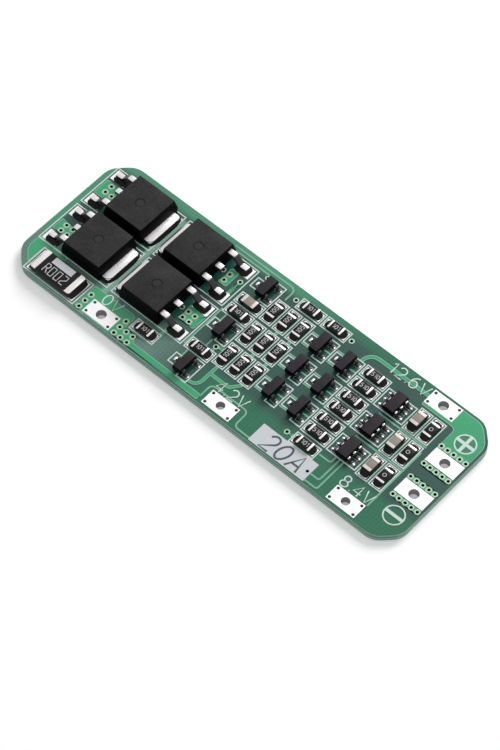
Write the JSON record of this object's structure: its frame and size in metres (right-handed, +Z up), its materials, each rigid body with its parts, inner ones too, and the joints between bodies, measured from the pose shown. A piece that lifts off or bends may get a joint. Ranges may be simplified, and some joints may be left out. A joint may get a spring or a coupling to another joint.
{
  "type": "battery management board",
  "caption": "Flat lithium battery protection board with plated wire terminals, flat power transistors, a current shunt and rows of small surface-mounted parts.",
  "frame": {"origin": "middle of the plane that the board's underside pads rest on", "axes": "+X along the board to the output terminals, +Y across it to the far long edge, +Z up, out of the face that carries the parts"},
  "size_m": [0.059, 0.02, 0.0034],
  "materials": {
    "solder_mask": "gloss",
    "masked_copper": "gloss",
    "via_copper": "satin",
    "legend_ink": "matte",
    "patch_ink": "matte",
    "solder": "gloss",
    "tinned_copper": "satin",
    "power_moulding": "satin",
    "small_moulding": "satin",
    "lead_metal": "satin",
    "shunt_coat": "satin",
    "chip_metal": "satin",
    "resistor_coat": "gloss",
    "capacitor_ceramic": "satin"
  },
  "bodies": {
    "root": {"printed_board": "solder_mask", "via_barrels": "via_copper", "copper_tracks": "masked_copper", "printed_outlines": "legend_ink", "rating_patch": "patch_ink", "solder_lands": "solder", "solder_joints": "solder", "battery_negative_terminal": "tinned_copper", "cell_1_tap_terminal": "tinned_copper", "cell_2_tap_terminal": "tinned_copper", "battery_positive_terminal": "tinned_copper", "output_positive_terminal": "tinned_copper", "output_negative_terminal": "tinned_copper", "power_transistor_1_body": "power_moulding", "power_transistor_1_leads": "lead_metal", "power_transistor_2_body": "power_moulding", "power_transistor_2_leads": "lead_metal", "power_transistor_3_body": "power_moulding", "power_transistor_3_leads": "lead_metal", "power_transistor_4_body": "power_moulding", "power_transistor_4_leads": "lead_metal", "shunt_body": "shunt_coat", "shunt_ends": "chip_metal", "cell_1_monitor_body": "small_moulding", "cell_1_monitor_leads": "lead_metal", "cell_2_monitor_body": "small_moulding", "cell_2_monitor_leads": "lead_metal", "cell_3_monitor_body": "small_moulding", "cell_3_monitor_leads": "lead_metal", "small_transistor_1_body": "small_moulding", "small_transistor_1_leads": "lead_metal", "small_transistor_2_body": "small_moulding", "small_transistor_2_leads": "lead_metal", "small_transistor_3_body": "small_moulding", "small_transistor_3_leads": "lead_metal", "small_transistor_4_body": "small_moulding", "small_transistor_4_leads": "lead_metal", "small_transistor_5_body": "small_moulding", "small_transistor_5_leads": "lead_metal", "small_transistor_6_body": "small_moulding", "small_transistor_6_leads": "lead_metal", "small_transistor_7_body": "small_moulding", "small_transistor_7_leads": "lead_metal", "small_transistor_8_body": "small_moulding", "small_transistor_8_leads": "lead_metal", "small_transistor_9_body": "small_moulding", "small_transistor_9_leads": "lead_metal", "single_resistor_bodies": "resistor_coat", "single_resistor_ends": "chip_metal", "cell_1_resistor_bodies": "resistor_coat", "cell_1_resistor_ends": "chip_metal", "cell_2_resistor_bodies": "resistor_coat", "cell_2_resistor_ends": "chip_metal", "cell_3_resistor_bodies": "resistor_coat", "cell_3_resistor_ends": "chip_metal", "capacitor_bodies": "capacitor_ceramic", "capacitor_ends": "chip_metal"}
  },
  "joints": []
}
